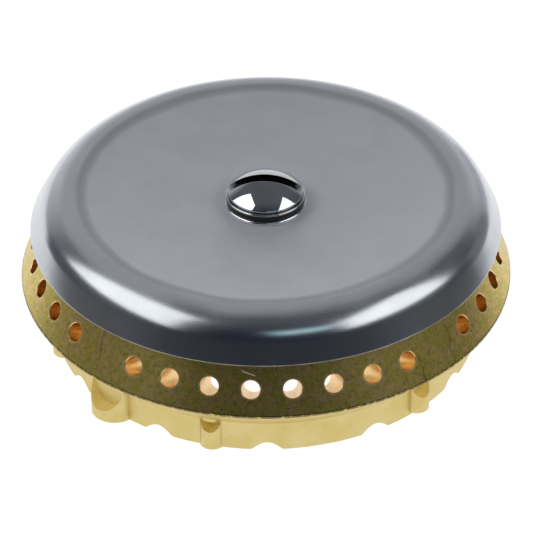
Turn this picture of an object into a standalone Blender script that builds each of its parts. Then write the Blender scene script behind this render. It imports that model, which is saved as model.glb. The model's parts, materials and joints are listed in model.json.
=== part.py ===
"""Burner head of a gas range: a brass crown, a pressed steel cap, a washer and a slotted screw.

Metres, +Z up. The origin is on the burner's axis, level with the lower edge of the crown's skirt.
The -Y side is the front. Angles run from the front towards +X, seen from above.
"""

import math

import bmesh
import bpy
from mathutils import Matrix, Vector

MM = 0.001
GAP = 0.3 * MM
OBJECT_NAME = "burner_head"

# Crown: port face, flange, skirt and bore.
CROWN_SEGMENTS = 96
CROWN_HEIGHT = 31.1 * MM
RIM_INNER_RADIUS = 37.6 * MM
RIM_OUTER_RADIUS = 38.8 * MM
RIM_CHAMFER = 0.9 * MM
FLANGE_RADIUS = 50.0 * MM
FLANGE_TOP = 13.5 * MM
FLANGE_EDGE = 0.4 * MM
FACE_TILT = math.radians(30.0)
SKIRT_RADIUS = 43.3 * MM
SKIRT_TOP = 7.2 * MM
BORE_RADIUS = 39.0 * MM
BORE_TOP = 17.5 * MM
THROAT_RADIUS = 35.6 * MM
THROAT_BOTTOM = 23.5 * MM
EDGE_CHAMFER = 0.5 * MM

# Flame ports: one every 10 degrees, less one at each web.
PORT_PITCH_DEG = 10
PORT_RADIUS = 2.0 * MM
PORT_CIRCLE_RADIUS = 47.3 * MM
PORT_LENGTH = 14.0 * MM
PORT_SEGMENTS = 16

# Webs and the tapped hub.
WEB_ANGLES_DEG = (45, 135, 225, 315)
WEB_THICKNESS = 5.0 * MM
WEB_BOTTOM = 16.0 * MM
WEB_TOP = 26.0 * MM
WEB_END = 41.0 * MM
HUB_RADIUS = 9.0 * MM
HUB_TOP = 27.8 * MM
HUB_BOTTOM = 15.0 * MM
HUB_SEGMENTS = 40

# Skirt: notches in its lower edge, and bosses with pockets. The casting's lower pattern is turned
# a little from the drilled ports, and repeats after half a turn.
SKIRT_TURN_DEG = -1.2
NOTCH_PITCH_DEG = 30
NOTCH_WIDTH = 6.8 * MM
NOTCH_HEIGHT = 2.0 * MM
# name: angle, width, reach from the axis, bottom rounding, and the pocket's radius, lowest point,
# top and depth
BOSSES = {
    "outer": (-74, 4.8 * MM, 45.2 * MM, 1.2 * MM, 2.1 * MM, 4.6 * MM, 8.4 * MM, 2.8 * MM),
    "large": (-46, 9.6 * MM, 47.4 * MM, 1.5 * MM, 4.4 * MM, 2.4 * MM, 11.0 * MM, 3.4 * MM),
    "small": (-15, 5.2 * MM, 44.6 * MM, 0.5 * MM, 2.1 * MM, 4.3 * MM, 7.0 * MM, 2.6 * MM),
    "medium": (44.4, 5.0 * MM, 45.4 * MM, 1.2 * MM, 2.2 * MM, 4.6 * MM, 8.6 * MM, 2.8 * MM),
}
BOSS_INNER_RADIUS = 41.0 * MM
BOSS_BOTTOM = 0.1 * MM

# Cap: a dish that rises from its flat seat under the screw to a crest, then a round shoulder and a
# skirt that slopes like the port face.
CAP_SEGMENTS = 96
CAP_THICKNESS = 1.5 * MM
SEAT_RADIUS = 9.0 * MM
CREST_RADIUS = 38.0 * MM
CREST_HEIGHT = 33.0 * MM
DISH_DEPTH = 3.4 * MM
DISH_EDGE_RADIUS = 37.2 * MM
DISH_STEPS = 5
SHOULDER_RADIUS = 8.6 * MM
SHOULDER_ANGLE = math.radians(60.0)
SHOULDER_STEPS = 5
LIP_HEIGHT = 24.6 * MM

# Screw, M8 by 16 with a domed head, and its washer.
SCREW_SEGMENTS = 40
THREAD_RADIUS = 3.9 * MM
HOLE_RADIUS = 4.3 * MM
SCREW_LENGTH = 16.0 * MM
TIP_CHAMFER = 1.0 * MM
HEAD_RADIUS = 8.1 * MM
HEAD_HEIGHT = 5.25 * MM
HEAD_SIDE = 1.4 * MM
DOME_RADIUS = 7.6 * MM
DOME_FOOT = 2.3 * MM
DOME_STEPS = 6
SLOT_WIDTH = 2.4 * MM
SLOT_DEPTH = 2.85 * MM
SLOT_TURN_DEG = -4.2
WASHER_RADIUS = 8.3 * MM
WASHER_THICKNESS = 0.5 * MM


def clear_scene():
    for obj in list(bpy.data.objects):
        bpy.data.objects.remove(obj, do_unlink=True)


def new_collection(name):
    collection = bpy.data.collections.new(name)
    bpy.context.scene.collection.children.link(collection)
    return collection


def metal(name, colour, roughness):
    material = bpy.data.materials.new(name)
    material.use_nodes = True
    shader = material.node_tree.nodes["Principled BSDF"]
    shader.inputs["Base Color"].default_value = (*colour, 1.0)
    shader.inputs["Metallic"].default_value = 1.0
    shader.inputs["Roughness"].default_value = roughness
    material.diffuse_color = (*colour, 1.0)
    return material


def add_object(name, mesh, collection, material=None):
    obj = bpy.data.objects.new(name, mesh)
    collection.objects.link(obj)
    if material:
        mesh.materials.append(material)
    return obj


def mesh_from(bm, name):
    bmesh.ops.recalc_face_normals(bm, faces=bm.faces)
    mesh = bpy.data.meshes.new(name)
    bm.to_mesh(mesh)
    bm.free()
    return mesh


def make_cutter(obj):
    obj.hide_render = True
    obj.display_type = "WIRE"


def turned(name, outline, segments, collection, material, closed):
    """A round piece from its outline of (radius, height), down the outer side from the top."""
    mesh = bpy.data.meshes.new(name)
    points = [(radius, 0.0, height) for radius, height in outline]
    edges = [(i, i + 1) for i in range(len(points) - 1)]
    if closed:
        edges.append((len(points) - 1, 0))
    mesh.from_pydata(points, edges, [])
    obj = add_object(name, mesh, collection, material)
    screw = obj.modifiers.new("turn", "SCREW")
    screw.axis = "Z"
    screw.angle = 2 * math.pi
    screw.steps = segments
    screw.render_steps = segments
    screw.use_merge_vertices = True
    screw.merge_threshold = 0.000001
    screw.use_smooth_shade = True
    return obj


def combine(obj, other, operation):
    boolean = obj.modifiers.new(other.name, "BOOLEAN")
    boolean.operation = operation
    boolean.solver = "EXACT"
    boolean.object = other


def arc(centre, radius_x, radius_y, start, end, steps):
    """Points on an ellipse from one angle to another, both ends included."""
    points = []
    for i in range(steps + 1):
        angle = start + (end - start) * i / steps
        points.append((centre[0] + radius_x * math.cos(angle), centre[1] + radius_y * math.sin(angle)))
    return points


def around(angle_deg):
    """Turns a piece built on the +X axis to its place, at an angle from the front."""
    return Matrix.Rotation(math.radians(angle_deg - 90), 4, "Z")


def add_prism(bm, outline, sweep, matrix):
    """Adds the solid that a flat outline of 3-D points makes when it moves along a vector."""
    base = [bm.verts.new(matrix @ Vector(point)) for point in outline]
    face = bm.faces.new(base)
    moved = bmesh.ops.extrude_face_region(bm, geom=[face])["geom"]
    tops = [item for item in moved if isinstance(item, bmesh.types.BMVert)]
    bmesh.ops.translate(bm, verts=tops, vec=matrix.to_3x3() @ Vector(sweep))
    return base


def face_radius(height):
    """The radius of the port face at a height above the skirt's edge."""
    return FLANGE_RADIUS - (height - FLANGE_TOP) * math.tan(FACE_TILT)


def crown_outline():
    shoulder = CROWN_HEIGHT - RIM_CHAMFER
    return [
        (RIM_OUTER_RADIUS, CROWN_HEIGHT),
        (face_radius(shoulder), shoulder),
        (FLANGE_RADIUS, FLANGE_TOP),
        (FLANGE_RADIUS, FLANGE_TOP - FLANGE_EDGE),
        (SKIRT_RADIUS + EDGE_CHAMFER, SKIRT_TOP),
        (SKIRT_RADIUS, SKIRT_TOP - EDGE_CHAMFER),
        (SKIRT_RADIUS, EDGE_CHAMFER / 2),
        (SKIRT_RADIUS - EDGE_CHAMFER / 2, 0.0),
        (BORE_RADIUS + EDGE_CHAMFER, 0.0),
        (BORE_RADIUS, EDGE_CHAMFER),
        (BORE_RADIUS, BORE_TOP),
        (THROAT_RADIUS, THROAT_BOTTOM),
        (THROAT_RADIUS, shoulder),
        (RIM_INNER_RADIUS, CROWN_HEIGHT),
    ]


def spider(collection):
    """The hub and its webs, as one solid that is joined to the crown's ring."""
    bm = bmesh.new()
    height = HUB_TOP - HUB_BOTTOM
    bmesh.ops.create_cone(
        bm,
        cap_ends=True,
        segments=HUB_SEGMENTS,
        radius1=HUB_RADIUS,
        radius2=HUB_RADIUS,
        depth=height,
        matrix=Matrix.Translation((0, 0, HUB_BOTTOM + height / 2)),
    )
    hub = add_object("hub_core", mesh_from(bm, "hub_core"), collection)
    make_cutter(hub)

    bm = bmesh.new()
    length = WEB_END - HUB_RADIUS / 2
    for angle in WEB_ANGLES_DEG:
        size = Matrix.Diagonal((length, WEB_THICKNESS, WEB_TOP - WEB_BOTTOM, 1))
        place = Matrix.Translation(((WEB_END + HUB_RADIUS / 2) / 2, 0, (WEB_TOP + WEB_BOTTOM) / 2))
        bmesh.ops.create_cube(bm, size=1.0, matrix=around(angle) @ place @ size)
    webs = add_object("webs", mesh_from(bm, "webs"), collection)
    make_cutter(webs)
    return hub, webs


def port_cutter(collection):
    """The flame ports' drillings, square to the port face."""
    bm = bmesh.new()
    height = FLANGE_TOP + (FLANGE_RADIUS - PORT_CIRCLE_RADIUS) / math.tan(FACE_TILT)
    tilt = Matrix.Rotation(math.pi / 2 - FACE_TILT, 4, "Y")
    place = Matrix.Translation((PORT_CIRCLE_RADIUS, 0, height))
    middle = Matrix.Translation((0, 0, -PORT_LENGTH / 2 + PORT_RADIUS))
    for step in range(360 // PORT_PITCH_DEG):
        angle = (step + 0.5) * PORT_PITCH_DEG
        if angle in WEB_ANGLES_DEG:
            continue
        bmesh.ops.create_cone(
            bm,
            cap_ends=True,
            segments=PORT_SEGMENTS,
            radius1=PORT_RADIUS,
            radius2=PORT_RADIUS,
            depth=PORT_LENGTH,
            matrix=around(angle) @ place @ tilt @ middle,
        )
    cutter = add_object("port_cutter", mesh_from(bm, "port_cutter"), collection)
    make_cutter(cutter)
    return cutter


def notch_cutter(collection):
    """The shallow arches in the skirt's lower edge."""
    bm = bmesh.new()
    inner = BORE_RADIUS - 2 * MM
    depth = SKIRT_RADIUS + 2 * MM - inner
    arch = arc((0.0, 0.0), NOTCH_WIDTH * 0.42, NOTCH_HEIGHT, 0.0, math.pi, 8)
    foot = NOTCH_WIDTH * 0.5
    outline = [(foot, -1 * MM), (foot, 0.0), *arch[1:-1], (-foot, 0.0), (-foot, -1 * MM)]
    for step in range(360 // NOTCH_PITCH_DEG):
        turn = around(step * NOTCH_PITCH_DEG + SKIRT_TURN_DEG)
        add_prism(bm, [(inner, across, up) for across, up in outline], (depth, 0, 0), turn)
    cutter = add_object("notch_cutter", mesh_from(bm, "notch_cutter"), collection)
    make_cutter(cutter)
    return cutter


def boss_solid(name, angle, width, reach, rounding, collection):
    """A pad on the skirt with a round front, from near the skirt's edge up into the flange."""
    bm = bmesh.new()
    half = width / 2
    front = arc((reach - half, 0.0), half, half, -math.pi / 2, math.pi / 2, 8)
    outline = [(BOSS_INNER_RADIUS, -half), *front, (BOSS_INNER_RADIUS, half)]
    top = FLANGE_TOP - FLANGE_EDGE - (FLANGE_RADIUS - reach) * 0.9
    points = [(radius, across, BOSS_BOTTOM) for radius, across in outline]
    base = add_prism(bm, points, (0, 0, top - BOSS_BOTTOM), around(angle))
    low = set(base)
    edges = [edge for edge in bm.edges if set(edge.verts) <= low]
    bmesh.ops.bevel(bm, geom=edges, offset=rounding, segments=2, profile=0.5, affect="EDGES")
    boss = add_object(name, mesh_from(bm, name), collection)
    make_cutter(boss)
    return boss


def pocket_cutter(name, angle, reach, radius, lowest, top, depth, collection):
    """A blind pocket with a round bottom, cut into the front of a boss."""
    bm = bmesh.new()
    bowl = arc((0.0, lowest + radius), radius, radius, math.pi, 2 * math.pi, 10)
    outline = [(reach - depth, across, up) for across, up in [(-radius, top), *bowl, (radius, top)]]
    add_prism(bm, outline, (depth + 2 * MM, 0, 0), around(angle))
    cutter = add_object(name, mesh_from(bm, name), collection)
    make_cutter(cutter)
    return cutter


def bore_cutter(collection):
    bm = bmesh.new()
    bmesh.ops.create_cone(
        bm,
        cap_ends=True,
        segments=32,
        radius1=HOLE_RADIUS,
        radius2=HOLE_RADIUS,
        depth=2 * CROWN_HEIGHT,
        matrix=Matrix.Translation((0, 0, CROWN_HEIGHT)),
    )
    cutter = add_object("hub_bore_cutter", mesh_from(bm, "hub_bore_cutter"), collection)
    make_cutter(cutter)
    return cutter


def build_crown(parts, cutters):
    brass = metal("tarnished_brass", (0.42, 0.34, 0.14), 0.42)
    crown = turned("burner_crown", crown_outline(), CROWN_SEGMENTS, parts, brass, closed=True)
    pockets = []
    for half_turn in (0, 180):
        for name, (angle, width, reach, rounding, *pocket) in BOSSES.items():
            place = angle + half_turn + SKIRT_TURN_DEG
            label = f"{name}_boss_{half_turn}"
            combine(crown, boss_solid(label, place, width, reach, rounding, cutters), "UNION")
            label = f"{name}_pocket_{half_turn}"
            pockets.append(pocket_cutter(label, place, reach, *pocket, cutters))
    for solid in spider(cutters):
        combine(crown, solid, "UNION")
    for cutter in (*pockets, port_cutter(cutters), notch_cutter(cutters), bore_cutter(cutters)):
        combine(crown, cutter, "DIFFERENCE")
    return crown


def cap_top():
    """The sheet's upper surface, from the screw's hole out to the lip, from the skirt's edge up."""
    points = [(HOLE_RADIUS, CREST_HEIGHT - DISH_DEPTH)]
    rise = DISH_DEPTH * ((DISH_EDGE_RADIUS - SEAT_RADIUS) / (CREST_RADIUS - SEAT_RADIUS)) ** 2
    for i in range(DISH_STEPS + 1):
        part = i / DISH_STEPS
        radius = SEAT_RADIUS + (DISH_EDGE_RADIUS - SEAT_RADIUS) * part
        points.append((radius, CREST_HEIGHT - DISH_DEPTH + rise * part**2))
    centre = (CREST_RADIUS, CREST_HEIGHT - SHOULDER_RADIUS)
    end = math.pi / 2 - SHOULDER_ANGLE
    points += arc(centre, SHOULDER_RADIUS, SHOULDER_RADIUS, math.pi / 2, end, SHOULDER_STEPS)
    last_radius, last_height = points[-1]
    drop = last_height - LIP_HEIGHT
    points.append((last_radius + drop / math.tan(SHOULDER_ANGLE), LIP_HEIGHT))
    return points


def offset_below(points, distance):
    """The same line, moved square to itself towards its underside."""
    moved = []
    for i, (radius, height) in enumerate(points):
        before = points[max(i - 1, 0)]
        after = points[min(i + 1, len(points) - 1)]
        along = Vector((after[0] - before[0], after[1] - before[1])).normalized()
        moved.append((radius + along.y * distance, height - along.x * distance))
    return moved


def build_cap(parts):
    steel = metal("satin_steel", (0.30, 0.32, 0.34), 0.34)
    top = cap_top()
    outline = top + offset_below(top, CAP_THICKNESS)[::-1]
    return turned("burner_cap", outline, CAP_SEGMENTS, parts, steel, closed=True)


def build_washer(parts, height):
    steel = metal("washer_steel", (0.55, 0.55, 0.56), 0.25)
    outline = [
        (WASHER_RADIUS, WASHER_THICKNESS),
        (WASHER_RADIUS, 0.0),
        (HOLE_RADIUS, 0.0),
        (HOLE_RADIUS, WASHER_THICKNESS),
    ]
    washer = turned("cap_washer", outline, SCREW_SEGMENTS, parts, steel, closed=True)
    washer.location.z = height
    return washer


def screw_outline():
    """The head's underside is at height 0, and the shank runs down from it."""
    rise = HEAD_HEIGHT - DOME_FOOT
    sphere = (DOME_RADIUS**2 + rise**2) / (2 * rise)
    half_angle = math.asin(DOME_RADIUS / sphere)
    centre = (0.0, HEAD_HEIGHT - sphere)
    dome = arc(centre, sphere, sphere, math.pi / 2, math.pi / 2 - half_angle, DOME_STEPS)
    return [
        (0.0, HEAD_HEIGHT),
        *dome[1:],
        (DOME_RADIUS, HEAD_SIDE + 0.2 * MM),
        (HEAD_RADIUS, HEAD_SIDE),
        (HEAD_RADIUS, 0.0),
        (THREAD_RADIUS, 0.0),
        (THREAD_RADIUS, TIP_CHAMFER - SCREW_LENGTH),
        (THREAD_RADIUS - TIP_CHAMFER, -SCREW_LENGTH),
        (0.0, -SCREW_LENGTH),
    ]


def build_screw(parts, cutters, height):
    steel = metal("polished_steel", (0.60, 0.60, 0.62), 0.08)
    screw = turned("cap_screw", screw_outline(), SCREW_SEGMENTS, parts, steel, closed=False)
    screw.location.z = height
    screw.rotation_euler.z = math.radians(SLOT_TURN_DEG)

    bm = bmesh.new()
    size = Matrix.Diagonal((3 * HEAD_RADIUS, SLOT_WIDTH, 2 * SLOT_DEPTH, 1))
    bmesh.ops.create_cube(bm, size=1.0, matrix=Matrix.Translation((0, 0, HEAD_HEIGHT)) @ size)
    slot = add_object("slot_cutter", mesh_from(bm, "slot_cutter"), cutters)
    make_cutter(slot)
    slot.parent = screw
    combine(screw, slot, "DIFFERENCE")
    return screw


def main():
    clear_scene()
    parts = new_collection(OBJECT_NAME)
    cutters = new_collection("cutters")
    cutters.hide_render = True

    build_crown(parts, cutters)
    build_cap(parts)
    washer = build_washer(parts, CREST_HEIGHT - DISH_DEPTH + GAP)
    build_screw(parts, cutters, washer.location.z + WASHER_THICKNESS + GAP)


main()
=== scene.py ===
"""Looks for the burner head: a pressed steel cap, a brass crown, a washer and a slotted screw.

Metres, +Z up, with the sizes below in millimetres. Angles run from the front (-Y) towards +X, seen
from above, in degrees.
"""

import json
import math

import bmesh
import bpy
from mathutils import Matrix, Vector

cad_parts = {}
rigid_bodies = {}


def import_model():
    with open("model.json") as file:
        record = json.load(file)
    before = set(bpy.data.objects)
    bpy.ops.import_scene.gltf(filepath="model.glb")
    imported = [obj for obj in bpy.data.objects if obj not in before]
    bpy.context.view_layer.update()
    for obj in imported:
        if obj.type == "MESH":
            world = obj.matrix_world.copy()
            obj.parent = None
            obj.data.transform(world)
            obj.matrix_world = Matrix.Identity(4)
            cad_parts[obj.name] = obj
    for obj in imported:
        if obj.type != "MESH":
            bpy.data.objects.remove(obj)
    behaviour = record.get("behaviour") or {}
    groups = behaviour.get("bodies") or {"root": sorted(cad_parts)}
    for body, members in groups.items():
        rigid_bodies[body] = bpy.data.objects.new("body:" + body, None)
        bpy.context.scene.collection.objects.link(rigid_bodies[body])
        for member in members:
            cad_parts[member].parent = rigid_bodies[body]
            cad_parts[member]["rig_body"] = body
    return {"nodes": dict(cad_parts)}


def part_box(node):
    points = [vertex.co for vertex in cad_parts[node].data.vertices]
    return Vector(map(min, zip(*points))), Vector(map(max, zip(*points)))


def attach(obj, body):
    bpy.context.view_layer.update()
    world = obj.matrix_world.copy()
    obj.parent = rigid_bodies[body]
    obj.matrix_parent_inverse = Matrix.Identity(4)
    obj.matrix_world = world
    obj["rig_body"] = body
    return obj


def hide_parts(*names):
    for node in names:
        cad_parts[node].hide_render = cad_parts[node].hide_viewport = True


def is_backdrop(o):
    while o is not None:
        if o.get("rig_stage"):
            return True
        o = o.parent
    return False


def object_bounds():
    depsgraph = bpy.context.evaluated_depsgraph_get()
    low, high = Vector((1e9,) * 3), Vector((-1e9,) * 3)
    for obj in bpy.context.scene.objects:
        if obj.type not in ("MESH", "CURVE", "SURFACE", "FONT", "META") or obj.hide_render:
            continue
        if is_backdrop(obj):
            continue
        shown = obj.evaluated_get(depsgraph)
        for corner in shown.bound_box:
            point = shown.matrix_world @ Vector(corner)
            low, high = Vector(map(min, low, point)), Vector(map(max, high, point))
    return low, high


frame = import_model()
cad_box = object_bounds()

MM = 0.001
SHARP_ANGLE = math.radians(28)
CROWN_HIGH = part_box("burner_crown")[1] / MM
CAP_LOW, CAP_HIGH = (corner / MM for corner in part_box("burner_cap"))
WASHER_LOW, WASHER_HIGH = (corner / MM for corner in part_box("cap_washer"))
SCREW_LOW, SCREW_HIGH = (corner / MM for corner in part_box("cap_screw"))

# Crown.
CROWN_SEGMENTS = 288
FLANGE_RADIUS = CROWN_HIGH.x
FLANGE_TOP = 13.5
FLANGE_EDGE = 0.4
FACE_TILT = math.radians(30)
SKIRT_RADIUS = 43.3
SKIRT_TOP = 7.2
BORE_RADIUS = 39.0
BORE_TOP = 17.5
THROAT_RADIUS = 35.6
THROAT_BOTTOM = 23.5
RIM_TOP = CROWN_HIGH.z
RIM_INNER_RADIUS = 37.6
RIM_OUTER_RADIUS = 38.8
RIM_CHAMFER = 0.9

# Flame ports, with a small countersink at each mouth.
PORT_PITCH = 10
PORT_RADIUS = 1.86
PORT_FLARE = 0.15
PORT_CIRCLE_RADIUS = 47.3
PORT_DEPTH = 12.0
PORT_HEIGHT = FLANGE_TOP + (FLANGE_RADIUS - PORT_CIRCLE_RADIUS) / math.tan(FACE_TILT)

# The crown's materials after its first, which is the cast and turned surface's.
DRILLED_ZONE, POCKET_ZONE = 1, 2

# How far a cutter stands out of the surface that it cuts.
EXCESS = 1.0

# Webs and the tapped hub.
WEB_ANGLES = (45, 135, 225, 315)
WEB_THICKNESS = 5.0
WEB_DRAFT = 0.35
WEB_BOTTOM, WEB_TOP = 16.0, 26.0
HUB_RADIUS = 9.0
HUB_BOTTOM, HUB_TOP = 15.0, 27.8

# Skirt: arches in the lower edge, and bosses with pockets, turned a little from the ports.
SKIRT_TURN = -1.2
NOTCH_PITCH = 30
NOTCH_WIDTH = 6.8
NOTCH_HEIGHT = 2.0
NOTCH_FULLNESS = 0.55
BOSSES = {
    # name: angle, width, reach from the axis, foot and bottom rounding; the pocket's radius, lowest
    # point, top and depth
    "outer": (-74, 4.8, 45.2, 1.2, 1.2, 2.1, 4.6, 8.4, 2.8),
    "large": (-45.9, 9.4, 47.3, 0.1, 1.5, 4.3, 2.4, 11.0, 3.4),
    "small": (-15, 5.2, 44.6, 0.1, 0.5, 2.1, 4.3, 7.0, 2.6),
    "medium": (44.6, 5.0, 45.4, 1.0, 1.2, 2.2, 4.6, 8.6, 2.8),
}
BOSS_INNER_RADIUS = 41.0
BOSS_TOP_SLOPE = 0.9

# Cap: a dish that rises to a crest, then a round shoulder and a wall that is a little steeper than
# the port face.
CAP_SEGMENTS = 288
CAP_THICKNESS = 1.5
SEAT_RADIUS = 9.0
SEAT_TOP = CAP_HIGH.z - 3.4
CREST_TOP = CAP_HIGH.z - 0.2
LIP_LOW = CAP_LOW.z + 0.45
CREST_RADIUS = 38.6
DISH_EDGE_RADIUS = 37.0
SHOULDER_RADIUS = 8.2
SHOULDER_ANGLE = math.radians(63)
HOLE_RADIUS = 4.3
LIP_ROUNDING = 0.3

# Washer: how far it goes past its CAD box, to close most of the gaps to the cap and the head.
WASHER_DROP = 0.26
WASHER_RISE = 0.02

# Screw and threads, M8.
PITCH = 1.25
ROWS_PER_TURN = 8
THREAD_LAND, THREAD_FLANK = 1.3, 3.0
SCREW_CREST, SCREW_ROOT = 3.9, 3.25
TAPPED_CREST, TAPPED_ROOT = 4.05, 4.5
TAPPED_CHAMFER = 0.6
TIP_LENGTH = 1.0
DOME_RADIUS = 7.7
DOME_FOOT = SCREW_LOW.z + 18.0
HEAD_SIDE_TOP = SCREW_LOW.z + 17.4
HEAD_BOTTOM = SCREW_LOW.z + 16.0
SLOT_WIDTH = 2.4
SLOT_DEPTH = 2.85
SLOT_TURN = -4.2
SLOT_ZONE = 1


# ---------------------------------------------------------------- mesh helpers


def turn_to(angle):
    """Turns what is built along +X to an angle from the front."""
    return Matrix.Rotation(math.radians(angle - 90), 4, "Z")


def new_object(name, bm):
    """An object from a mesh in millimetres, whose faces are all turned the same way."""
    if bm.calc_volume(signed=True) < 0:
        bmesh.ops.reverse_faces(bm, faces=bm.faces)
    bmesh.ops.scale(bm, vec=(MM, MM, MM), verts=bm.verts)
    mesh = bpy.data.meshes.new(name)
    bm.to_mesh(mesh)
    bm.free()
    obj = bpy.data.objects.new(name, mesh)
    bpy.context.scene.collection.objects.link(obj)
    return obj


def add_turned(bm, outline, segments, closed, matrix=None, shape=None):
    """Adds a round solid from its outline of (radius, height).

    shape(radius, height, angle) may move a point in or out.
    """
    rings = []
    for radius, height in outline:
        ring = []
        for i in range(segments if radius > 0 else 1):
            angle = 2 * math.pi * i / segments
            reach = shape(radius, height, angle) if shape and radius > 0 else radius
            point = Vector((reach * math.cos(angle), reach * math.sin(angle), height))
            ring.append(bm.verts.new(matrix @ point if matrix else point))
        rings.append(ring)
    following = rings[1:] + rings[:1] if closed else rings[1:]
    for upper, lower in zip(rings, following):
        for i in range(segments):
            j = (i + 1) % segments
            left = (upper[i % len(upper)], lower[i % len(lower)])
            right = (lower[j % len(lower)], upper[j % len(upper)])
            # Next to a point on the axis, the point comes up twice and the face is a triangle.
            bm.faces.new(list(dict.fromkeys(left + right)))


def add_prism(bm, outline, sweep, matrix):
    """Adds the solid that a flat outline makes when it moves along a vector. Gives its first points."""
    base = [bm.verts.new(matrix @ Vector(point)) for point in outline]
    ends = [bm.verts.new(matrix @ (Vector(point) + Vector(sweep))) for point in outline]
    bm.faces.new(base[::-1])
    bm.faces.new(ends)
    for i in range(len(base)):
        bm.faces.new((base[i - 1], base[i], ends[i], ends[i - 1]))
    return base


def arc(centre, radius, start, end, steps):
    """Points on a circle from one angle to another, both ends included."""
    angles = (start + (end - start) * i / steps for i in range(steps + 1))
    return [(centre[0] + radius * math.cos(a), centre[1] + radius * math.sin(a)) for a in angles]


def rounded(corners, steps=5, closed=True):
    """An outline from corners of (radius, height, fillet), each fillet as an arc."""
    points = []
    ends = (0, len(corners) - 1)
    for i, (x, y, fillet) in enumerate(corners):
        if fillet == 0 or (not closed and i in ends):
            points.append((x, y))
            continue
        here = Vector((x, y))
        back = (Vector(corners[i - 1][:2]) - here).normalized()
        ahead = (Vector(corners[(i + 1) % len(corners)][:2]) - here).normalized()
        half = back.angle(ahead) / 2
        centre = here + (back + ahead).normalized() * fillet / math.sin(half)
        first = here + back * fillet / math.tan(half) - centre
        last = here + ahead * fillet / math.tan(half) - centre
        start = math.atan2(first.y, first.x)
        sweep = math.atan2(first.x * last.y - first.y * last.x, first.dot(last))
        points += arc(centre, fillet, start, start + sweep, steps)
    return points


def combine(obj, other, operation, zone=0):
    """Joins or cuts a shape. The faces that it leaves take the material of that zone."""
    if zone:
        for piece in (obj, other):
            while len(piece.data.materials) <= zone:
                piece.data.materials.append(None)
        for face in other.data.polygons:
            face.material_index = zone
    boolean = obj.modifiers.new(other.name, "BOOLEAN")
    boolean.operation = operation
    boolean.solver = "EXACT"
    boolean.object = other


def settle(obj):
    """Applies the modifiers, removes the shapes they used, and shades the piece smooth."""
    helpers = [modifier.object for modifier in obj.modifiers]
    graph = bpy.context.evaluated_depsgraph_get()
    mesh = bpy.data.meshes.new_from_object(obj.evaluated_get(graph))
    obj.modifiers.clear()
    obj.data = mesh
    for helper in helpers:
        bpy.data.objects.remove(helper, do_unlink=True)
    mesh.shade_smooth()
    mesh.set_sharp_from_angle(angle=SHARP_ANGLE)
    even = obj.modifiers.new("even_shading", "WEIGHTED_NORMAL")
    even.keep_sharp = True
    return obj


def thread_wave(height, angle):
    """0 at a thread's root and 1 at its crest, at a height and an angle round the axis."""
    phase = (height / PITCH - angle / (2 * math.pi)) % 1
    return min(1, max(0, THREAD_LAND - THREAD_FLANK * abs(phase - 0.5)))


# ---------------------------------------------------------------- pieces


def face_radius(height):
    """The radius of the port face at a height above the skirt's edge."""
    return FLANGE_RADIUS - (height - FLANGE_TOP) * math.tan(FACE_TILT)


def crown_ring():
    """The turned ring: rim, port face, flange, skirt, bore and throat."""
    shoulder = RIM_TOP - RIM_CHAMFER
    corners = [
        (RIM_OUTER_RADIUS, RIM_TOP, 0.3),
        (face_radius(shoulder), shoulder, 0.3),
        (FLANGE_RADIUS, FLANGE_TOP, 0.12),
        (FLANGE_RADIUS, FLANGE_TOP - FLANGE_EDGE, 0.12),
        (SKIRT_RADIUS + 0.7, SKIRT_TOP + 0.05, 0.12),
        (SKIRT_RADIUS, SKIRT_TOP - 0.35, 0.15),
        (SKIRT_RADIUS, 0.0, 0.35),
        (BORE_RADIUS, 0.0, 0.4),
        (BORE_RADIUS, BORE_TOP, 1.2),
        (THROAT_RADIUS, THROAT_BOTTOM, 1.2),
        (THROAT_RADIUS, shoulder, 0.3),
        (RIM_INNER_RADIUS, RIM_TOP, 0.3),
    ]
    bm = bmesh.new()
    add_turned(bm, rounded(corners), CROWN_SEGMENTS, closed=True)
    return new_object("brass_crown", bm)


def hub_core():
    """The hub before it is drilled and tapped."""
    corners = [
        (0, HUB_TOP, 0),
        (HUB_RADIUS, HUB_TOP, 0.6),
        (HUB_RADIUS, HUB_BOTTOM, 0.8),
        (0, HUB_BOTTOM, 0),
    ]
    bm = bmesh.new()
    add_turned(bm, rounded(corners, closed=False), 96, closed=False)
    return new_object("hub_core", bm)


def web(angle):
    """A cast web with round edges and a little draft, from inside the hub to inside the ring."""
    bm = bmesh.new()
    half = WEB_THICKNESS / 2
    section = rounded(
        [
            (-half + WEB_DRAFT, WEB_TOP, 0.8),
            (half - WEB_DRAFT, WEB_TOP, 0.8),
            (half, WEB_BOTTOM, 1.0),
            (-half, WEB_BOTTOM, 1.0),
        ]
    )
    start, end = HUB_RADIUS * 0.5, BORE_RADIUS + 2.0
    near_end = [(start, across, up) for across, up in section]
    add_prism(bm, near_end, (end - start, 0, 0), turn_to(angle))
    return new_object(f"web_{angle}", bm)


def tapped_bore():
    """The hub's threaded hole, countersunk at both ends."""

    def thread(radius, height, angle):
        if radius != TAPPED_CREST:
            return radius
        return TAPPED_ROOT - (TAPPED_ROOT - TAPPED_CREST) * thread_wave(height, angle)

    over, under = HUB_TOP + EXCESS, HUB_BOTTOM - EXCESS
    top, bottom = HUB_TOP - TAPPED_CHAMFER, HUB_BOTTOM + TAPPED_CHAMFER
    wide = TAPPED_ROOT + TAPPED_CHAMFER + EXCESS
    outline = [(0, over), (wide, over), (TAPPED_ROOT, top)]
    steps = round((HUB_TOP - HUB_BOTTOM) / PITCH * ROWS_PER_TURN)
    outline += [(TAPPED_CREST, top - (top - bottom) * i / steps) for i in range(1, steps)]
    outline += [(TAPPED_ROOT, bottom), (wide, under), (0, under)]
    bm = bmesh.new()
    add_turned(bm, outline, 64, closed=False, shape=thread)
    return new_object("tapped_bore", bm)


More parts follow.
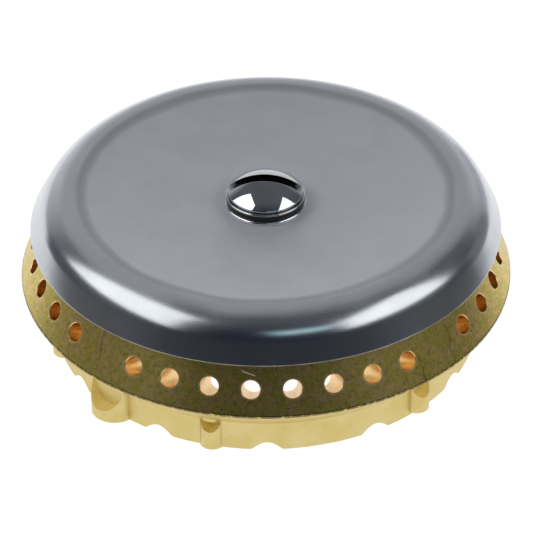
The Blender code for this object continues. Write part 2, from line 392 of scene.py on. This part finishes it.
def port_cutter():
    """The flame ports' drillings, square to the port face, less one at each web."""
    tilt = Matrix.Rotation(math.pi / 2 - FACE_TILT, 4, "Y")
    place = Matrix.Translation((PORT_CIRCLE_RADIUS, 0, PORT_HEIGHT))
    mouth = PORT_RADIUS + PORT_FLARE
    outline = [
        (0, EXCESS),
        (mouth + EXCESS, EXCESS),
        (mouth, 0),
        (PORT_RADIUS, -PORT_FLARE),
        (PORT_RADIUS, -PORT_DEPTH),
        (0, -PORT_DEPTH),
    ]
    bm = bmesh.new()
    for step in range(360 // PORT_PITCH):
        angle = (step + 0.5) * PORT_PITCH
        if angle not in WEB_ANGLES:
            add_turned(bm, outline, 40, closed=False, matrix=turn_to(angle) @ place @ tilt)
    return new_object("port_cutter", bm)


def notch_cutter():
    """The shallow arches in the skirt's lower edge, with soft corners."""
    bm = bmesh.new()
    start, end = BORE_RADIUS - 2.0, SKIRT_RADIUS + 2.0
    steps = 24
    half = NOTCH_WIDTH / 2
    outline = [(half, -EXCESS)]
    for i in range(steps + 1):
        across = 1 - 2 * i / steps
        height = NOTCH_HEIGHT * (0.5 + 0.5 * math.cos(math.pi * across)) ** NOTCH_FULLNESS
        # A little low, so that the arch's ends don't lie in the skirt's lower face.
        outline.append((across * half, height - 0.02))
    outline.append((-half, -EXCESS))
    near_end = [(start, across, up) for across, up in outline]
    for step in range(360 // NOTCH_PITCH):
        add_prism(bm, near_end, (end - start, 0, 0), turn_to(step * NOTCH_PITCH + SKIRT_TURN))
    return new_object("notch_cutter", bm)


def boss(name, angle, width, reach, foot, rounding):
    """A pad on the skirt with a half-round front and a rounded foot, which runs up into the flange."""
    half = width / 2
    front = arc((reach - half, 0), half, -math.pi / 2, math.pi / 2, 28)
    outline = [(BOSS_INNER_RADIUS, -half), *front, (BOSS_INNER_RADIUS, half)]
    top = FLANGE_TOP - FLANGE_EDGE - (FLANGE_RADIUS - reach) * BOSS_TOP_SLOPE
    bottom = [(*point, foot) for point in outline]
    bm = bmesh.new()
    base = add_prism(bm, bottom, (0, 0, top - foot), turn_to(angle))
    edges = [edge for edge in bm.edges if set(edge.verts) <= set(base)]
    bmesh.ops.bevel(bm, geom=edges, offset=rounding, segments=6, profile=0.5, affect="EDGES")
    return new_object(name, bm)


def pocket_cutter(name, angle, reach, radius, lowest, top, depth):
    """A blind pocket with a round bottom, cut into the front of a boss."""
    bowl = arc((0, lowest + radius), radius, math.pi, 2 * math.pi, 32)
    outline = [(-radius, top), *bowl, (radius, top)]
    bottom = [(reach - depth, across, up) for across, up in outline]
    bm = bmesh.new()
    add_prism(bm, bottom, (depth + 2.0, 0, 0), turn_to(angle))
    return new_object(name, bm)


def build_crown():
    """The ring with its arches, joined with bosses, webs and hub; then pockets, ports and thread."""
    crown = crown_ring()
    # The arches come first: with the bosses already joined, this Boolean leaves its cutter in.
    combine(crown, notch_cutter(), "DIFFERENCE")
    cutters = []
    for half_turn in (0, 180):
        for name, (angle, width, reach, foot, rounding, *pocket) in BOSSES.items():
            turn = angle + half_turn + SKIRT_TURN
            pad = boss(f"{name}_boss_{half_turn}", turn, width, reach, foot, rounding)
            combine(crown, pad, "UNION")
            cutters.append(pocket_cutter(f"{name}_pocket_{half_turn}", turn, reach, *pocket))
    for angle in WEB_ANGLES:
        combine(crown, web(angle), "UNION")
    combine(crown, hub_core(), "UNION")
    for cutter in cutters:
        combine(crown, cutter, "DIFFERENCE", POCKET_ZONE)
    combine(crown, port_cutter(), "DIFFERENCE", DRILLED_ZONE)
    combine(crown, tapped_bore(), "DIFFERENCE", DRILLED_ZONE)
    return settle(crown)


def cap_top():
    """The sheet's upper surface, from the screw's hole out to the lip."""
    points = [(HOLE_RADIUS + 0.2, SEAT_TOP), (SEAT_RADIUS - 2, SEAT_TOP)]
    dish = DISH_EDGE_RADIUS - SEAT_RADIUS
    rise = (CREST_TOP - SEAT_TOP) * (dish / (CREST_RADIUS - SEAT_RADIUS)) ** 2
    steps = 28
    for i in range(steps + 1):
        part = i / steps
        points.append((SEAT_RADIUS + dish * part, SEAT_TOP + rise * part**2))
    # The crease: the dish's slope fades out over the last stretch to the crest.
    slope = 2 * rise / dish
    run = CREST_RADIUS - DISH_EDGE_RADIUS
    left = CREST_TOP - SEAT_TOP - rise
    for i in range(1, 6):
        part = i / 6
        height = CREST_TOP - left * (1 - part) ** (slope * run / left)
        points.append((DISH_EDGE_RADIUS + run * part, height))
    centre = (CREST_RADIUS, CREST_TOP - SHOULDER_RADIUS)
    points += arc(centre, SHOULDER_RADIUS, math.pi / 2, math.pi / 2 - SHOULDER_ANGLE, 36)
    last_radius, last_height = points[-1]
    drop = last_height - LIP_LOW - LIP_ROUNDING
    out = drop / math.tan(SHOULDER_ANGLE)
    for part in (0.12, 0.5, 1.0):
        points.append((last_radius + out * part, last_height - drop * part))
    return points


def square_to(points, i):
    """The way down into the sheet, square to its upper surface, at one point of that surface."""
    before, after = points[max(i - 1, 0)], points[min(i + 1, len(points) - 1)]
    along = Vector((after[0] - before[0], after[1] - before[1])).normalized()
    return Vector((along.y, -along.x))


def build_cap():
    """The sheet: its upper surface, its end at the lip, its underside and the screw's hole."""
    top = cap_top()
    under = [Vector(point) + square_to(top, i) * CAP_THICKNESS for i, point in enumerate(top)]
    # The sheet ends square to itself, with round edges.
    along = Vector((math.cos(SHOULDER_ANGLE), -math.sin(SHOULDER_ANGLE)))
    across = square_to(top, len(top) - 1)
    edge = []
    for i in range(1, 12):
        turn = math.pi * i / 12
        reach = along * math.sin(turn) ** 0.5 * LIP_ROUNDING
        edge.append(Vector(top[-1]) + across * CAP_THICKNESS * (1 - math.cos(turn)) / 2 + reach)
    hole = [(HOLE_RADIUS, under[0].y + 0.2), (HOLE_RADIUS, top[0][1] - 0.2)]
    outline = [*top, *(tuple(point) for point in edge + under[::-1]), *hole]
    bm = bmesh.new()
    add_turned(bm, outline, CAP_SEGMENTS, closed=True)
    return settle(new_object("steel_cap", bm))


def build_washer():
    """A plain washer, rounder at its upper edge; it lies on the cap and carries the head."""
    low, high = WASHER_LOW.z - WASHER_DROP, WASHER_HIGH.z + WASHER_RISE
    corners = [
        (WASHER_HIGH.x, high, 0.45),
        (WASHER_HIGH.x, low, 0.25),
        (HOLE_RADIUS, low, 0.12),
        (HOLE_RADIUS, high, 0.12),
    ]
    bm = bmesh.new()
    add_turned(bm, rounded(corners, steps=8), 192, closed=True)
    return settle(new_object("steel_washer", bm))


def screw_outline():
    """Down from the dome's top: dome, groove, side band, underside, shank and tip."""
    rise = SCREW_HIGH.z - DOME_FOOT
    sphere = (DOME_RADIUS**2 + rise**2) / (2 * rise)
    reach = math.asin(DOME_RADIUS / sphere)
    centre = (0, SCREW_HIGH.z - sphere)
    dome = arc(centre, sphere, math.pi / 2, math.pi / 2 - reach, 40)
    groove = HEAD_SIDE_TOP + 0.35
    side = [
        (*dome[-2], 0),
        (*dome[-1], 0.3),
        (DOME_RADIUS - 0.05, DOME_FOOT - 0.25, 0.1),
        (DOME_RADIUS - 0.45, groove, 0.15),
        (DOME_RADIUS - 0.2, HEAD_SIDE_TOP, 0.08),
        (SCREW_HIGH.x, HEAD_SIDE_TOP, 0.3),
        (SCREW_HIGH.x, HEAD_BOTTOM - 0.2, 0.25),
        (SCREW_CREST + 0.35, HEAD_BOTTOM - 0.2, 0),
    ]
    neck, foot = HEAD_BOTTOM - 0.55, SCREW_LOW.z + TIP_LENGTH
    steps = round((HEAD_BOTTOM - foot) / PITCH * ROWS_PER_TURN)
    shank = [(SCREW_CREST, neck - (neck - foot) * i / steps) for i in range(steps)]
    tip = [(SCREW_CREST - 0.15, foot - 0.1), (SCREW_CREST - 1.1, SCREW_LOW.z), (0, SCREW_LOW.z)]
    return [(0, SCREW_HIGH.z), *dome[1:-2], *rounded(side, closed=False), *shank, *tip]


def slot_cutter():
    """A bar across the head, with rounded lower edges."""
    half, floor, brim = SLOT_WIDTH / 2, SCREW_HIGH.z - SLOT_DEPTH, SCREW_HIGH.z + EXCESS
    section = rounded([(-half, brim, 0), (half, brim, 0), (half, floor, 0.25), (-half, floor, 0.25)])
    reach = 10
    near_end = [(-reach, across, up) for across, up in section]
    bm = bmesh.new()
    add_prism(bm, near_end, (2 * reach, 0, 0), Matrix.Rotation(math.radians(SLOT_TURN), 4, "Z"))
    return new_object("slot_cutter", bm)


def build_screw():
    """A domed head with a groove under it and a slot across it, on a threaded shank."""
    top, foot = HEAD_BOTTOM - 1.3, SCREW_LOW.z + TIP_LENGTH

    def thread(radius, height, angle):
        if radius != SCREW_CREST or not foot < height < top:
            return radius
        fade = min(1, (top - height) / PITCH, (height - foot) / PITCH)
        return SCREW_CREST - (SCREW_CREST - SCREW_ROOT) * (1 - thread_wave(height, angle)) * fade

    bm = bmesh.new()
    add_turned(bm, screw_outline(), 192, closed=False, shape=thread)
    screw = new_object("slotted_screw", bm)
    combine(screw, slot_cutter(), "DIFFERENCE", SLOT_ZONE)
    return settle(screw)


# ---------------------------------------------------------------- materials


class Nodes:
    """A tree's nodes, with short ways to add and join them."""

    def __init__(self, tree):
        self.tree = tree

    def add(self, kind, **values):
        node = self.tree.nodes.new(kind)
        for key, value in values.items():
            if key in node.inputs:
                self.feed(node.inputs[key], value)
            else:
                setattr(node, key, value)
        return node

    def feed(self, socket, value):
        if isinstance(value, bpy.types.NodeSocket):
            self.tree.links.new(value, socket)
        elif socket.type == "RGBA":
            socket.default_value = (*value, 1.0)
        else:
            socket.default_value = value

    def maths(self, operation, a, b=0.0):
        node = self.tree.nodes.new("ShaderNodeMath")
        node.operation = operation
        self.feed(node.inputs[0], a)
        self.feed(node.inputs[1], b)
        return node.outputs[0]

    def minus(self, a, b):
        return self.maths("SUBTRACT", a, b)

    def times(self, *values):
        product = values[0]
        for value in values[1:]:
            product = self.maths("MULTIPLY", product, value)
        return product

    def spread(self, value, low, high, to_low=0.0, to_high=1.0):
        """A smooth step from to_low to to_high as value goes from low to high."""
        node = self.tree.nodes.new("ShaderNodeMapRange")
        node.interpolation_type = "SMOOTHSTEP"
        steps = {"Value": value, "From Min": low, "From Max": high, "To Min": to_low, "To Max": to_high}
        for name, step in steps.items():
            self.feed(node.inputs[name], step)
        return node.outputs[0]

    def band(self, value, middle, half_width, soft):
        """1 within half_width of middle, fading to 0 over soft."""
        off = self.maths("ABSOLUTE", self.minus(value, middle))
        return self.spread(off, half_width, half_width + soft, 1.0, 0.0)

    def mix(self, factor, a, b):
        """From colour a to colour b."""
        node = self.tree.nodes.new("ShaderNodeMix")
        node.data_type = "RGBA"
        for i, value in ((0, factor), (6, a), (7, b)):
            self.feed(node.inputs[i], value)
        return node.outputs[2]

    def between(self, factor, a, b):
        """From number a to number b."""
        node = self.tree.nodes.new("ShaderNodeMix")
        for i, value in ((0, factor), (2, a), (3, b)):
            self.feed(node.inputs[i], value)
        return node.outputs[0]


class Graph(Nodes):
    """A material's nodes, with the point's place in millimetres and its angle from the front."""

    def __init__(self, name):
        self.material = bpy.data.materials.new(name)
        self.material.use_nodes = True
        super().__init__(self.material.node_tree)
        self.shader = self.tree.nodes["Principled BSDF"]
        metres = self.add("ShaderNodeTexCoord").outputs["Object"]
        scaled = self.add("ShaderNodeVectorMath", operation="SCALE", Vector=metres, Scale=1 / MM)
        self.place = scaled.outputs[0]
        self.x, self.y, self.z = self.add("ShaderNodeSeparateXYZ", Vector=self.place).outputs
        flat = self.add("ShaderNodeCombineXYZ", X=self.x, Y=self.y).outputs[0]
        self.radius = self.add("ShaderNodeVectorMath", operation="LENGTH", Vector=flat).outputs["Value"]
        self.angle = self.maths("ARCTAN2", self.x, self.times(self.y, -1.0))

    def set(self, **values):
        for name, value in values.items():
            self.feed(self.shader.inputs[name.replace("_", " ")], value)

    def noise(self, size, detail=3.0, roughness=0.55, distortion=0.0, stretch=(1.0, 1.0, 1.0)):
        """Noise from 0 to 1, its patches about size mm across. A stretch under 1 makes them longer."""
        node = self.add("ShaderNodeVectorMath", operation="MULTIPLY")
        self.feed(node.inputs[0], self.place)
        self.feed(node.inputs[1], stretch)
        return self.add(
            "ShaderNodeTexNoise",
            Vector=node.outputs[0],
            Scale=1 / size,
            Detail=detail,
            Roughness=roughness,
            Distortion=distortion,
        ).outputs[0]

    def bump(self, height, distance, strength=1.0):
        """Relief from a height field of 0 to 1, distance mm deep."""
        node = self.add("ShaderNodeBump", Height=height, Distance=distance * MM, Strength=strength)
        self.set(Normal=node.outputs[0])


def cap_material():
    """Pressed steel: a satin disc, a dark ring of painted shade at the crease, and a smoother shoulder
    and wall.
    """
    g = Graph("cap_steel_satin")
    wander = g.times(g.minus(g.noise(14, detail=1.5), 0.5), 1.6)
    ring_radius = g.maths("ADD", g.radius, wander)
    shoulder = g.spread(ring_radius, CREST_RADIUS + 1.0, CREST_RADIUS + 4.4)
    crease = g.band(ring_radius, DISH_EDGE_RADIUS + 0.3, 0.35, 1.3)
    cloud = g.spread(g.noise(9, detail=4), 0.35, 0.65)
    grain = g.noise(0.35, detail=4, roughness=0.7)
    disc = g.mix(cloud, (0.77, 0.795, 0.84), (0.81, 0.83, 0.87))
    side = g.mix(cloud, (0.57, 0.595, 0.635), (0.61, 0.635, 0.67))
    colour = g.mix(shoulder, disc, side)
    # Painted shade: the ring from the dish's edge out onto the start of the shoulder is darkened.
    inside = g.spread(g.radius, DISH_EDGE_RADIUS - 0.5, DISH_EDGE_RADIUS + 1.0)
    outside = g.spread(g.radius, DISH_EDGE_RADIUS + 3.0, DISH_EDGE_RADIUS + 5.0, 1.0, 0.0)
    colour = g.mix(g.times(inside, outside, 0.22), colour, (0.20, 0.205, 0.22))
    # Painted shade: a darker line along the crease itself.
    colour = g.mix(g.times(crease, 0.28), colour, (0.15, 0.155, 0.165))
    speckle = g.spread(g.noise(0.5, detail=2), 0.62, 0.74)
    colour = g.mix(g.times(speckle, 0.12), colour, (0.10, 0.10, 0.10))
    lines = g.band(g.noise(22, detail=0.0), 0.5, 0.0004, 0.0012)
    fine = g.times(lines, g.spread(g.noise(5, detail=1), 0.60, 0.68), 0.45)
    colour = g.mix(fine, colour, (0.08, 0.08, 0.09))
    g.set(Base_Color=colour, Metallic=g.between(shoulder, 0.40, 1.0))
    rough = g.between(shoulder, 0.56, 0.21)
    g.set(Roughness=g.maths("ADD", rough, g.times(g.minus(grain, 0.5), 0.06)))
    g.bump(grain, 0.004)
    return g.material


def port_face(g):
    """1 on the port face and 0 elsewhere, from the depth under the face's plane."""
    slope = g.times(g.minus(g.z, FLANGE_TOP), math.tan(FACE_TILT))
    depth = g.times(g.minus(FLANGE_RADIUS, g.maths("ADD", slope, g.radius)), math.cos(FACE_TILT))
    above = g.spread(g.z, FLANGE_TOP - 0.35, FLANGE_TOP - 0.15)
    return g.times(above, g.spread(depth, 0.12, 0.22, 1.0, 0.0))


def mouth_rings(g):
    """The bright ring that a drill leaves round each port, but none at the webs, which have no port."""
    step = g.maths("FRACT", g.times(g.angle, 180 / math.pi / PORT_PITCH))
    along = g.times(g.minus(step, 0.5), math.radians(PORT_PITCH) * PORT_CIRCLE_RADIUS)
    up = g.times(g.minus(g.z, PORT_HEIGHT), 1 / math.cos(FACE_TILT))
    away = g.maths("SQRT", g.maths("ADD", g.times(along, along), g.times(up, up)))
    drilled = g.spread(g.maths("COSINE", g.times(g.angle, 4.0)), -0.97, -0.90)
    return g.times(g.band(away, PORT_RADIUS + PORT_FLARE + 0.08, 0.10, 0.12), drilled)


def cracks(g):
    """Fine cracks in the port face, one mask each."""
    # angle, lean in mm for each mm up, lowest and highest point
    places = ((47.6, 0.2, 12.0, 24.5), (38.2, -0.1, 12.0, 18.5), (-43.6, -0.25, 16.0, 22.5))
    mean_radius = 47.0
    wobble = g.times(g.minus(g.noise(3.0, detail=2), 0.5), 2.2)
    for angle, lean, low, high in places:
        along = g.times(g.minus(g.angle, math.radians(angle)), mean_radius)
        off = g.maths("ADD", g.minus(along, g.times(g.minus(g.z, FLANGE_TOP), lean)), wobble)
        ends = g.times(g.spread(g.z, low, low + 0.6), g.spread(g.z, high - 0.6, high, 1.0, 0.0))
        yield g.times(g.band(off, 0.0, 0.05, 0.08), ends)


def bright_scratch(g):
    """One short scratch near the front, high on the port face."""
    middle_x, middle_z, lean = -4.5, 20.95, 0.3
    off = g.maths("ADD", g.minus(g.z, middle_z), g.times(g.minus(g.x, middle_x), lean))
    ends = g.band(g.x, middle_x, 1.1, 0.4)
    front = g.spread(g.y, -1.0, 0.0, 1.0, 0.0)
    return g.times(g.band(off, 0.0, 0.05, 0.06), ends, front)


def tarnished_colour(g, scratch):
    """The port face: brown and olive patches, specks, pits, cracks and bright marks."""
    patches = g.spread(g.noise(3.0, detail=5, roughness=0.65, distortion=0.6), 0.38, 0.62)
    specks = g.spread(g.noise(0.9, detail=3, roughness=0.7), 0.42, 0.66)
    pits = g.spread(g.noise(1.6, detail=4, roughness=0.75), 0.60, 0.70)
    colour = g.mix(patches, (0.66, 0.55, 0.11), (0.78, 0.57, 0.22))
    colour = g.mix(g.times(specks, 0.45), colour, (0.36, 0.31, 0.08))
    colour = g.mix(g.times(pits, 0.25), colour, (0.20, 0.16, 0.09))
    colour = g.mix(g.times(mouth_rings(g), 0.55), colour, (1.0, 0.84, 0.42))
    for crack in cracks(g):
        colour = g.mix(g.times(crack, 0.65), colour, (0.05, 0.04, 0.03))
    return g.mix(scratch, colour, (1.0, 0.93, 0.75))


def cast_colour(g):
    """The pale casting, with brown stains and a dark line of painted shadow where the skirt meets the
    flange, under its overhang.
    """
    colour = g.mix(g.spread(g.noise(6, detail=4), 0.35, 0.65), (0.66, 0.53, 0.20), (0.70, 0.58, 0.26))
    stains = g.spread(g.noise(1.1, detail=3), 0.62, 0.74)
    colour = g.mix(g.times(stains, 0.2), colour, (0.38, 0.27, 0.12))
    # Painted shadow: a dark line on the skirt just under the flange's overhang.
    flange_shadow = g.band(g.z, SKIRT_TOP - 0.1, 0.12, 0.14)
    near = g.band(g.radius, SKIRT_RADIUS + 0.3, 0.5, 0.3)
    return g.mix(g.times(flange_shadow, near, 0.75), colour, (0.20, 0.12, 0.05))


def brass_material():
    """Brass: a pale casting with a tarnished port face and a dirty flange edge."""
    g = Graph("crown_brass_tarnished")
    face, scratch = port_face(g), bright_scratch(g)
    colour = g.mix(face, cast_colour(g), tarnished_colour(g, scratch))
    edge = g.band(g.z, FLANGE_TOP - 0.10, 0.20, 0.18)
    outermost = g.spread(g.radius, FLANGE_RADIUS - 0.6, FLANGE_RADIUS - 0.3)
    rugged = g.spread(g.noise(0.8, detail=3), 0.28, 0.5)
    colour = g.mix(g.times(edge, outermost, rugged, 0.85), colour, (0.10, 0.08, 0.04))
    worn = g.minus(0.975, g.times(scratch, 0.75))
    g.set(Base_Color=colour, Metallic=g.between(face, 1.0, worn))
    relief = g.noise(0.6, detail=5, roughness=0.7)
    rough = g.between(face, 0.42, 0.30)
    g.set(Roughness=g.maths("ADD", rough, g.times(g.minus(relief, 0.5), 0.25)))
    g.bump(relief, 0.03)
    return g.material


def drilled_material():
    """Clean copper-coloured metal in the ports and the hub's hole."""
    g = Graph("crown_brass_drilled")
    rings = g.noise(0.5, detail=3, stretch=(0.3, 0.3, 1.0))
    colour = g.mix(g.spread(rings, 0.3, 0.7), (0.88, 0.55, 0.20), (0.95, 0.66, 0.29))
    g.set(Base_Color=colour, Metallic=1.0, Roughness=g.spread(rings, 0.3, 0.7, 0.26, 0.36))
    g.bump(rings, 0.02)
    return g.material


def pocket_material():
    """Bare yellow casting skin, which scatters more light than the worn faces."""
    g = Graph("crown_brass_pocket")
    skin = g.noise(0.9, detail=4, roughness=0.65)
    colour = g.mix(g.spread(skin, 0.3, 0.7), (1.0, 0.80, 0.30), (1.0, 0.89, 0.44))
    g.set(Base_Color=colour, Metallic=0.0, Roughness=g.spread(skin, 0.3, 0.7, 0.45, 0.6))
    g.bump(skin, 0.05)
    return g.material


def washer_material():
    """Bright steel, faintly streaked."""
    g = Graph("washer_steel_plain")
    streak = g.noise(0.6, detail=3, stretch=(1.0, 1.0, 3.0))
    colour = g.mix(g.spread(streak, 0.3, 0.7), (0.78, 0.79, 0.80), (0.88, 0.89, 0.90))
    g.set(Base_Color=colour, Metallic=1.0, Roughness=g.spread(streak, 0.3, 0.7, 0.08, 0.14))
    g.bump(streak, 0.008)
    return g.material


def screw_material():
    """A polished dome over a groove of painted shade and a side band painted just as dark, whose upper
    edge is bright.

    The shank and the slot's edges are duller.
    """
    g = Graph("screw_steel_polished")
    shank = g.spread(g.z, HEAD_BOTTOM - 0.4, HEAD_BOTTOM - 0.1, 1.0, 0.0)
    smear = g.noise(3.0, detail=3)
    colour = g.mix(g.spread(smear, 0.3, 0.7), (0.66, 0.67, 0.70), (0.74, 0.75, 0.78))
    head = g.times(g.spread(g.radius, DOME_RADIUS - 0.5, DOME_RADIUS - 0.2), g.minus(1.0, shank))
    below = g.spread(g.z, DOME_FOOT - 0.45, DOME_FOOT - 0.30, 1.0, 0.0)
    edge = g.band(g.z, HEAD_SIDE_TOP - 0.12, 0.14, 0.08)
    edge = g.times(edge, g.spread(g.radius, DOME_RADIUS - 0.08, DOME_RADIUS))
    # Painted shade in the groove under the dome; the side band below it is painted just as dark, all
    # but its upper edge.
    colour = g.mix(g.times(head, below, g.minus(1.0, edge)), colour, (0.045, 0.042, 0.038))
    g.set(Base_Color=colour, Metallic=1.0)
    turn = math.radians(SLOT_TURN)
    across = g.minus(g.times(g.y, math.cos(turn)), g.times(g.x, math.sin(turn)))
    burr = g.band(g.maths("ABSOLUTE", across), SLOT_WIDTH / 2 + 0.04, 0.07, 0.05)
    polished = g.spread(smear, 0.35, 0.75, 0.02, 0.05)
    g.set(Roughness=g.between(g.maths("MAXIMUM", shank, burr), polished, 0.42))
    return g.material


def slot_material():
    """The cut slot: painted shade, dark and a little brown, paler where it runs out at the dome's edge.
    """
    g = Graph("screw_slot_painted_shade")
    streak = g.noise(0.5, detail=3, stretch=(0.3, 1.0, 1.0))
    # Painted shade in the slot, paler towards the dome's edge where the slot runs out.
    dark = g.mix(g.spread(streak, 0.3, 0.7), (0.05, 0.045, 0.04), (0.12, 0.11, 0.10))
    colour = g.mix(g.spread(g.radius, DOME_RADIUS - 1.8, DOME_RADIUS - 1.0), dark, (0.60, 0.60, 0.57))
    g.set(Base_Color=colour, Metallic=1.0, Roughness=0.4)
    g.bump(streak, 0.01)
    return g.material


# ---------------------------------------------------------------- stage, light and camera

CENTRE = Vector((0, 0, 30)) * MM


def direction(azimuth, elevation):
    """The way from the object to an azimuth from the front and an elevation, in degrees."""
    a, e = math.radians(azimuth), math.radians(elevation)
    return Vector((math.sin(a) * math.cos(e), -math.cos(a) * math.cos(e), math.sin(e)))


def softbox(name, azimuths, elevations, radiance, distance=0.95, colour=(1.0, 1.0, 1.0)):
    """A rectangular light that spans these angles, as seen from the object."""
    across = math.radians(azimuths[1] - azimuths[0]) / 2
    upright = math.radians(elevations[1] - elevations[0]) / 2
    light = bpy.data.lights.new(name, "AREA")
    light.shape = "RECTANGLE"
    light.size = 2 * distance * math.tan(across) * math.cos(math.radians(sum(elevations) / 2))
    light.size_y = 2 * distance * math.tan(upright)
    light.energy = radiance * math.pi * light.size * light.size_y
    light.color = colour
    lamp = bpy.data.objects.new(name, light)
    bpy.context.scene.collection.objects.link(lamp)
    way = direction(sum(azimuths) / 2, sum(elevations) / 2)
    facing = way.to_track_quat("Z", "Y").to_matrix().to_4x4()
    lamp.matrix_world = Matrix.Translation(CENTRE + way * distance) @ facing
    lamp.visible_camera = False


def panel(name, corners, radiance, distance=800):
    """A glowing panel whose corners lie at these azimuths and elevations, as seen from the object."""
    bm = bmesh.new()
    points = [bm.verts.new(CENTRE / MM + direction(*corner) * distance) for corner in corners]
    bm.faces.new(points)
    lamp = new_object(name, bm)
    g = Graph("panel_glow")
    g.set(Base_Color=(0.0, 0.0, 0.0), Specular_IOR_Level=0.0)
    g.set(Emission_Color=(1.0, 1.0, 0.985), Emission_Strength=radiance)
    lamp.data.materials.append(g.material)
    lamp.visible_camera = lamp.visible_shadow = False
    lamp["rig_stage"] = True


def build_floor():
    """A white light table: it glows, so it throws hardly any shadow."""
    bm = bmesh.new()
    bmesh.ops.create_grid(bm, x_segments=1, y_segments=1, size=3000)
    floor = new_object("light_table", bm)
    floor.location.z = -0.2 * MM
    g = Graph("light_table_white")
    g.set(Base_Color=(0.10, 0.10, 0.10), Roughness=0.9, Specular_IOR_Level=0.0)
    g.set(Emission_Color=(1.0, 1.0, 1.0), Emission_Strength=1.0)
    floor.data.materials.append(g.material)
    floor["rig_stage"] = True


def table_card(name, azimuths, reach, shade, height=70):
    """A low grey card on the table, bent round the object at a distance. Only reflections show it."""
    bm = bmesh.new()
    low, high = [], []
    steps = 12
    for i in range(steps + 1):
        foot = direction(azimuths[0] + (azimuths[1] - azimuths[0]) * i / steps, 0) * reach
        low.append(bm.verts.new(foot))
        high.append(bm.verts.new(foot + Vector((0, 0, height))))
    for i in range(steps):
        bm.faces.new((low[i], low[i + 1], high[i + 1], high[i]))
    card = new_object(name, bm)
    g = Graph("table_card_grey")
    g.set(Base_Color=(shade, shade, shade * 1.04), Roughness=0.9)
    card.data.materials.append(g.material)
    card.visible_camera = card.visible_shadow = False
    card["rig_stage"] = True


def build_world():
    """Bright and low behind and beside the object, dark above it and on the camera's side."""
    world = bpy.data.worlds.new("studio")
    world.use_nodes = True
    bpy.context.scene.world = world
    g = Nodes(world.node_tree)
    way = g.add("ShaderNodeTexCoord").outputs["Generated"]
    _, depth, height = g.add("ShaderNodeSeparateXYZ", Vector=way).outputs
    low = g.mix(g.spread(depth, 0.45, 1.0), (0.085, 0.092, 0.108), (0.72, 0.72, 0.73))
    back = g.mix(g.spread(height, 0.42, 0.68), low, (0.10, 0.105, 0.12))
    light = g.mix(g.spread(depth, -0.75, -0.10, 1.0, 0.0), back, (0.016, 0.018, 0.028))
    camera_ray = g.add("ShaderNodeLightPath").outputs["Is Camera Ray"]
    background = g.tree.nodes["Background"]
    g.feed(background.inputs["Color"], g.mix(camera_ray, light, (0.93, 0.93, 0.93)))
    background.inputs["Strength"].default_value = 1.0


def build_camera():
    """The photo's camera, fitted to the ports, the lip, the flange's edge and the ring on the cap."""
    data = bpy.data.cameras.new("camera")
    data.lens = 317.45
    data.sensor_width = 36.0
    data.clip_start = 0.01
    camera = bpy.data.objects.new("camera", data)
    bpy.context.scene.collection.objects.link(camera)
    aim = Vector((-0.027, -6.127, 18.1)) * MM
    place = aim + direction(-1.161, 36.13) * 0.9548
    look = (aim - place).to_track_quat("-Z", "Y").to_matrix().to_4x4()
    roll = Matrix.Rotation(math.radians(-0.41), 4, "Z")
    camera.matrix_world = Matrix.Translation(place) @ look @ roll
    bpy.context.scene.camera = camera


def build_stage():
    bpy.context.scene.view_settings.view_transform = "Standard"
    build_camera()
    build_floor()
    build_world()
    panel("left_panel", ((-118, 60), (-52, 62), (-47, 25), (-112, 19)), 1.5)
    panel("right_panel", ((101, 57), (41, 49), (38, 28), (95, 18)), 1.5)
    softbox("pale_teal_card", (2, 34), (40, 50), 0.85, colour=(0.70, 1.0, 1.05))
    table_card("left_card", (-62, -122), 260, 0.10)
    table_card("right_card", (62, 102), 190, 0.09)
    table_card("right_back_card", (102, 126), 190, 0.30)
    table_card("back_right_card", (126, 152), 230, 0.75)


# ---------------------------------------------------------------- the scene

PIECES = {
    # node: how the piece is built, its materials by zone, and the record's slot
    "burner_crown": (build_crown, (brass_material, drilled_material, pocket_material), "crown_brass"),
    "burner_cap": (build_cap, (cap_material,), "cap_steel"),
    "cap_washer": (build_washer, (washer_material,), "washer_steel"),
    "cap_screw": (build_screw, (screw_material, slot_material), "screw_steel"),
}

build_stage()
for node, (build, materials, slot) in PIECES.items():
    piece = build()
    zones = [face.material_index for face in piece.data.polygons]
    piece.data.materials.clear()
    for material in materials:
        piece.data.materials.append(material())
    piece.data.polygons.foreach_set("material_index", zones)
    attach(piece, frame["nodes"][node]["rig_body"])
    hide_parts(node)

for corners in (cad_box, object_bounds()):
    json.dumps([list(corner) for corner in corners])
